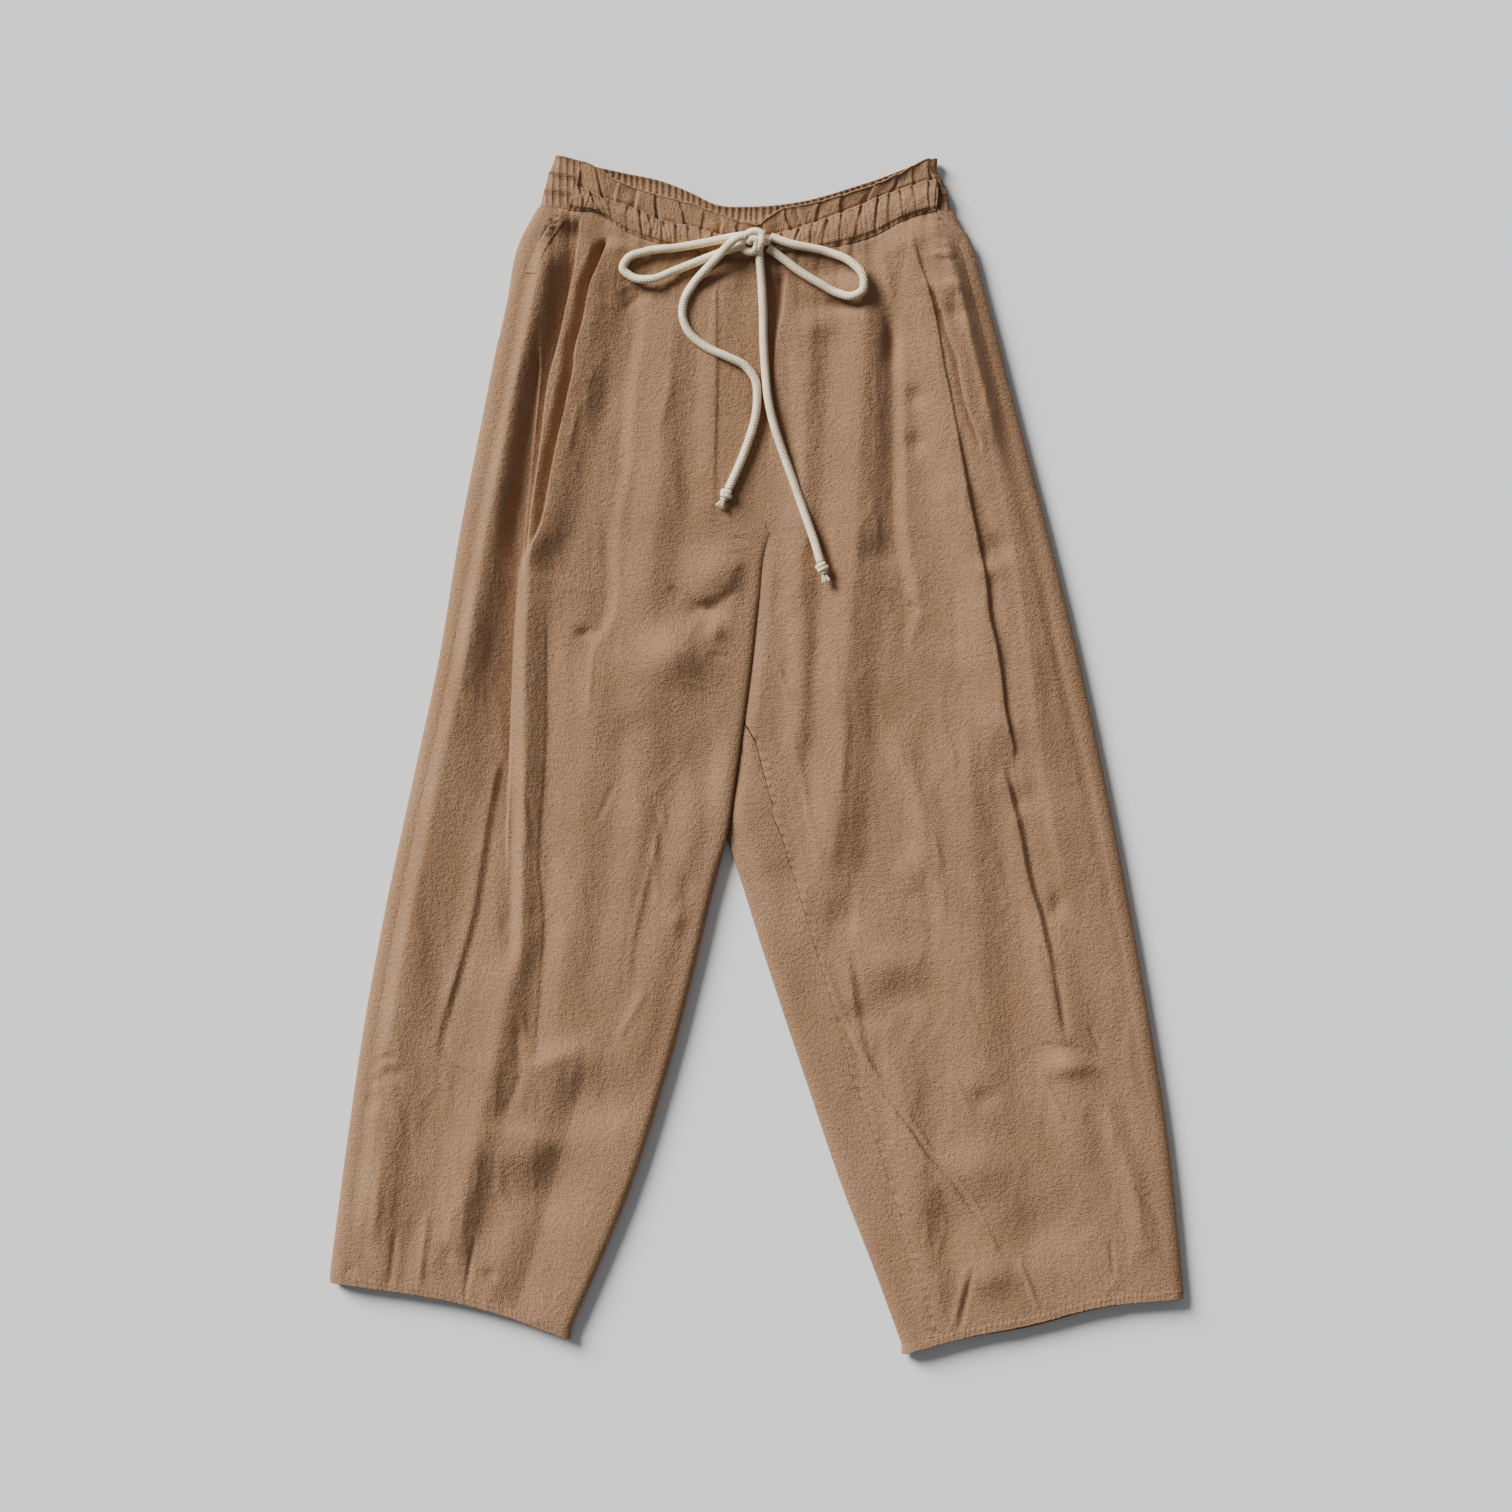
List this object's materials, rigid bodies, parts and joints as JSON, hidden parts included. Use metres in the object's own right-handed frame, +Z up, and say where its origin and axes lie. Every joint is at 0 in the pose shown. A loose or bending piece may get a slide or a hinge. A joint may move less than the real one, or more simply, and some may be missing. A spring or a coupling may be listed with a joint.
{
  "type": "drawstring trousers",
  "caption": "Wide cotton trousers with an elasticated waist, ruched drawstring casing and a tied bow, laid flat on their back.",
  "frame": {"origin": "centre of the laid garment on the surface that it rests on", "axes": "+Y from the hems towards the waist, +X towards the wearer's left leg, +Z up out of the front of the trousers"},
  "size_m": [0.7267, 1.0205, 0.0329],
  "materials": {
    "cloth": "washed cotton poplin, matte, crinkled",
    "hem": "turned and topstitched washed cotton, matte",
    "waistband": "gathered washed cotton, matte",
    "cord": "braided cotton cord, matte"
  },
  "bodies": {
    "root": {"front_right": "cloth", "front_left": "cloth", "back_right": "cloth", "back_left": "cloth", "hem_right_front": "hem", "hem_right_back": "hem", "hem_left_front": "hem", "hem_left_back": "hem", "pocket_edge_right": "hem", "pocket_edge_left": "hem", "waistband_front": "waistband", "waistband_back": "waistband", "loop_right": "cord", "loop_left": "cord", "tail_right": "cord", "tail_left": "cord", "bow_knot": "cord", "tail_knot_right": "cord", "tail_knot_left": "cord"}
  },
  "joints": []
}
